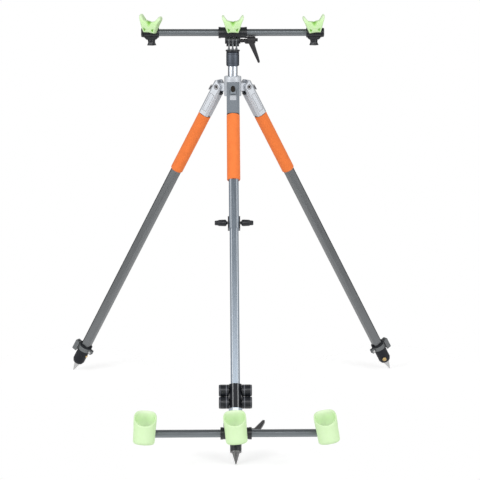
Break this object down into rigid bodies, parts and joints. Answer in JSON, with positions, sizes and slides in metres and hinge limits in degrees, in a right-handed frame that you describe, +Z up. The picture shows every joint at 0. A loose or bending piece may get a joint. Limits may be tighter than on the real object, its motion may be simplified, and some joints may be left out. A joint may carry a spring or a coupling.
{
  "type": "rod pod",
  "caption": "Folding tripod that holds surf rods: V rests on a tilting bar over the hub, butt cups on a bar that slides on the front leg.",
  "frame": {"origin": "on the ground under the column's axis", "axes": "+Z up along the column; -Y toward the front leg, which carries the butt cups; +X to the right seen from the front"},
  "size_m": [0.923, 0.9033, 1.0399],
  "materials": {
    "bright_casting": "polished",
    "steel": "polished",
    "chrome_tube": "polished",
    "dark_sleeve": "satin",
    "grey_head": "satin",
    "grey_tube": "satin",
    "bright_sleeve": "satin",
    "orange_foam": "matte foam",
    "pale_green_rubber": "smooth",
    "dark_plate": "satin",
    "grey_clamp": "satin",
    "black_plastic": "satin"
  },
  "bodies": {
    "hub": {"hub_casting": "bright_casting", "leg_pivot_pins": "steel", "column_tube": "chrome_tube"},
    "column_sleeve": {"column_sleeve": "dark_sleeve"},
    "head_post": {"column_head": "grey_head"},
    "head": {"head_clamp": "black_plastic", "head_bar": "grey_tube", "head_bar_plugs": "black_plastic"},
    "head_lever": {"head_lever": "black_plastic"},
    "rest_left": {"rest_left": "pale_green_rubber"},
    "rest_centre": {"rest_centre": "pale_green_rubber"},
    "rest_right": {"rest_right": "pale_green_rubber"},
    "rest_clamp_left": {"rest_clamp_left": "black_plastic"},
    "rest_clamp_right": {"rest_clamp_right": "black_plastic"},
    "rest_knob_left": {"rest_knob_left": "black_plastic"},
    "rest_knob_right": {"rest_knob_right": "black_plastic"},
    "front_leg": {"front_bracket": "bright_casting", "front_upper_tube": "grey_tube", "front_grip": "orange_foam", "front_lock_clip": "black_plastic"},
    "front_latch": {"front_latch": "dark_plate"},
    "front_lock_knob_left": {"front_lock_knob_left": "black_plastic"},
    "front_lock_knob_right": {"front_lock_knob_right": "black_plastic"},
    "front_lower": {"front_lower_tube": "grey_tube", "front_foot_cap": "black_plastic", "front_spike": "steel"},
    "left_leg": {"left_bracket": "bright_casting", "left_tube": "grey_tube", "left_grip": "orange_foam", "left_foot_collar": "black_plastic", "left_foot_band": "grey_clamp"},
    "left_latch": {"left_latch": "dark_plate"},
    "left_foot_lever": {"left_foot_lever": "grey_clamp"},
    "left_lower": {"left_inner_tube": "grey_tube", "left_spike": "steel"},
    "right_leg": {"right_bracket": "bright_casting", "right_tube": "grey_tube", "right_grip": "orange_foam", "right_foot_collar": "black_plastic", "right_foot_band": "grey_clamp"},
    "right_latch": {"right_latch": "dark_plate"},
    "right_foot_lever": {"right_foot_lever": "grey_clamp"},
    "right_lower": {"right_inner_tube": "grey_tube", "right_spike": "steel"},
    "carriage": {"carriage_sleeve": "bright_sleeve", "carriage_collar": "black_plastic"},
    "carriage_knob_upper_left": {"carriage_knob_upper_left": "black_plastic"},
    "carriage_knob_upper_right": {"carriage_knob_upper_right": "black_plastic"},
    "carriage_knob_lower_left": {"carriage_knob_lower_left": "black_plastic"},
    "carriage_knob_lower_right": {"carriage_knob_lower_right": "black_plastic"},
    "butt": {"butt_clamp": "black_plastic", "butt_bar": "grey_tube"},
    "butt_lever": {"butt_lever": "black_plastic"},
    "cup_left": {"cup_left": "pale_green_rubber"},
    "cup_centre": {"cup_centre": "pale_green_rubber"},
    "cup_right": {"cup_right": "pale_green_rubber"},
    "cup_clamp_left": {"cup_clamp_left": "black_plastic"},
    "cup_knob_left": {"cup_knob_left": "black_plastic"},
    "cup_clamp_right": {"cup_clamp_right": "black_plastic"},
    "cup_knob_right": {"cup_knob_right": "black_plastic"}
  },
  "joints": [
    {"name": "sleeve_twist", "type": "hinge", "parent": "hub", "child": "column_sleeve", "pos_m": [0, 0, 0.90521], "axis": [0, 0, 1], "range_deg": [0, 180]},
    {"name": "head_lift", "type": "slide", "parent": "hub", "child": "head_post", "axis": [0, 0, 1], "range_m": [0, 0.07]},
    {"name": "head_tilt", "type": "hinge", "parent": "head_post", "child": "head", "pos_m": [0, 0, 0.97101], "axis": [1, 0, 0], "range_deg": [-60, 60]},
    {"name": "head_lever_turn", "type": "hinge", "parent": "head", "child": "head_lever", "pos_m": [0, 0, 0.97101], "axis": [1, 0, 0], "range_deg": [-90, 90]},
    {"name": "rest_clamp_left_slide", "type": "slide", "parent": "head", "child": "rest_clamp_left", "axis": [1, 0, 0], "range_m": [0, 0.1]},
    {"name": "rest_knob_left_turn", "type": "hinge", "parent": "rest_clamp_left", "child": "rest_knob_left", "pos_m": [-0.2117, 0, 0.97201], "axis": [0, 0, 1], "continuous": true},
    {"name": "rest_left_swivel", "type": "hinge", "parent": "rest_clamp_left", "child": "rest_left", "pos_m": [-0.2117, -0.0176, 1.001], "axis": [0, 1, 0], "range_deg": [-25, 25]},
    {"name": "rest_clamp_right_slide", "type": "slide", "parent": "head", "child": "rest_clamp_right", "axis": [-1, 0, 0], "range_m": [0, 0.1]},
    {"name": "rest_knob_right_turn", "type": "hinge", "parent": "rest_clamp_right", "child": "rest_knob_right", "pos_m": [0.2117, 0, 0.97201], "axis": [0, 0, 1], "continuous": true},
    {"name": "rest_right_swivel", "type": "hinge", "parent": "rest_clamp_right", "child": "rest_right", "pos_m": [0.2117, -0.0176, 1.001], "axis": [0, 1, 0], "range_deg": [-25, 25]},
    {"name": "rest_centre_swivel", "type": "hinge", "parent": "head", "child": "rest_centre", "pos_m": [0, -0.0176, 1.001], "axis": [0, 1, 0], "range_deg": [-25, 25]},
    {"name": "front_leg_fold", "type": "hinge", "parent": "hub", "child": "front_leg", "pos_m": [0, -0.041, 0.8492], "axis": [1, 0, 0], "range_deg": [0, 28]},
    {"name": "front_leg_extend", "type": "slide", "parent": "front_leg", "child": "front_lower", "axis": [0, -0.5, -0.866], "range_m": [0, 0.25]},
    {"name": "front_latch_pull", "type": "hinge", "parent": "front_leg", "child": "front_latch", "pos_m": [0, -0.05576, 0.84849], "axis": [-1, 0, 0], "range_deg": [0, 20], "stiffness_Nm_per_rad": 0.3},
    {"name": "left_leg_fold", "type": "hinge", "parent": "hub", "child": "left_leg", "pos_m": [-0.03551, 0.0205, 0.8492], "axis": [-0.5, -0.866, 0], "range_deg": [0, 28]},
    {"name": "left_leg_extend", "type": "slide", "parent": "left_leg", "child": "left_lower", "axis": [-0.433, 0.25, -0.866], "range_m": [0, 0.5]},
    {"name": "left_latch_pull", "type": "hinge", "parent": "left_leg", "child": "left_latch", "pos_m": [-0.04829, 0.02788, 0.84849], "axis": [0.5, 0.866, 0], "range_deg": [0, 20], "stiffness_Nm_per_rad": 0.3},
    {"name": "right_leg_fold", "type": "hinge", "parent": "hub", "child": "right_leg", "pos_m": [0.03551, 0.0205, 0.8492], "axis": [-0.5, 0.866, 0], "range_deg": [0, 28]},
    {"name": "right_leg_extend", "type": "slide", "parent": "right_leg", "child": "right_lower", "axis": [0.433, 0.25, -0.866], "range_m": [0, 0.5]},
    {"name": "right_latch_pull", "type": "hinge", "parent": "right_leg", "child": "right_latch", "pos_m": [0.04829, 0.02788, 0.84849], "axis": [0.5, -0.866, 0], "range_deg": [0, 20], "stiffness_Nm_per_rad": 0.3},
    {"name": "left_foot_lever_turn", "type": "hinge", "parent": "left_leg", "child": "left_foot_lever", "pos_m": [-0.43992, 0.25399, 0.08709], "axis": [0.5, 0.866, 0], "range_deg": [0, 85]},
    {"name": "front_lock_knob_left_turn", "type": "hinge", "parent": "front_leg", "child": "front_lock_knob_left", "pos_m": [0, -0.22475, 0.53094], "axis": [1, 0, 0], "continuous": true},
    {"name": "right_foot_lever_turn", "type": "hinge", "parent": "right_leg", "child": "right_foot_lever", "pos_m": [0.43992, 0.25399, 0.08709], "axis": [0.5, -0.866, 0], "range_deg": [0, 85]},
    {"name": "front_lock_knob_right_turn", "type": "hinge", "parent": "front_leg", "child": "front_lock_knob_right", "pos_m": [0, -0.22475, 0.53094], "axis": [1, 0, 0], "continuous": true},
    {"name": "carriage_slide", "type": "slide", "parent": "front_lower", "child": "carriage", "axis": [0, 0.5, 0.866], "range_m": [0, 0.38]},
    {"name": "carriage_knob_upper_left_turn", "type": "hinge", "parent": "carriage", "child": "carriage_knob_upper_left", "pos_m": [0, -0.44035, 0.15751], "axis": [1, 0, 0], "continuous": true},
    {"name": "carriage_knob_upper_right_turn", "type": "hinge", "parent": "carriage", "child": "carriage_knob_upper_right", "pos_m": [0, -0.44035, 0.15751], "axis": [1, 0, 0], "continuous": true},
    {"name": "carriage_knob_lower_left_turn", "type": "hinge", "parent": "carriage", "child": "carriage_knob_lower_left", "pos_m": [0, -0.45535, 0.13153], "axis": [1, 0, 0], "continuous": true},
    {"name": "carriage_knob_lower_right_turn", "type": "hinge", "parent": "carriage", "child": "carriage_knob_lower_right", "pos_m": [0, -0.45535, 0.13153], "axis": [1, 0, 0], "continuous": true},
    {"name": "butt_tilt", "type": "hinge", "parent": "carriage", "child": "butt", "pos_m": [0, -0.53343, 0.08389], "axis": [-1, 0, 0], "range_deg": [-40, 50]},
    {"name": "butt_lever_turn", "type": "hinge", "parent": "butt", "child": "butt_lever", "pos_m": [0, -0.53343, 0.08389], "axis": [1, 0, 0], "range_deg": [-73, 72]},
    {"name": "cup_clamp_left_slide", "type": "slide", "parent": "butt", "child": "cup_clamp_left", "axis": [1, 0, 0], "range_m": [0, 0.1]},
    {"name": "cup_knob_left_turn", "type": "hinge", "parent": "cup_clamp_left", "child": "cup_knob_left", "pos_m": [-0.2157, -0.55064, 0.10723], "axis": [0, 0.1736, 0.9848], "continuous": true},
    {"name": "cup_left_swivel", "type": "hinge", "parent": "cup_clamp_left", "child": "cup_left", "pos_m": [-0.2157, -0.57144, 0.09059], "axis": [0, 0.9848, -0.1736], "range_deg": [-20, 20]},
    {"name": "cup_clamp_right_slide", "type": "slide", "parent": "butt", "child": "cup_clamp_right", "axis": [-1, 0, 0], "range_m": [0, 0.1]},
    {"name": "cup_knob_right_turn", "type": "hinge", "parent": "cup_clamp_right", "child": "cup_knob_right", "pos_m": [0.2157, -0.55064, 0.10723], "axis": [0, 0.1736, 0.9848], "continuous": true},
    {"name": "cup_right_swivel", "type": "hinge", "parent": "cup_clamp_right", "child": "cup_right", "pos_m": [0.2157, -0.57144, 0.09059], "axis": [0, 0.9848, -0.1736], "range_deg": [-20, 20]},
    {"name": "cup_centre_swivel", "type": "hinge", "parent": "butt", "child": "cup_centre", "pos_m": [0, -0.57144, 0.09059], "axis": [0, 0.9848, -0.1736], "range_deg": [-20, 20]}
  ]
}
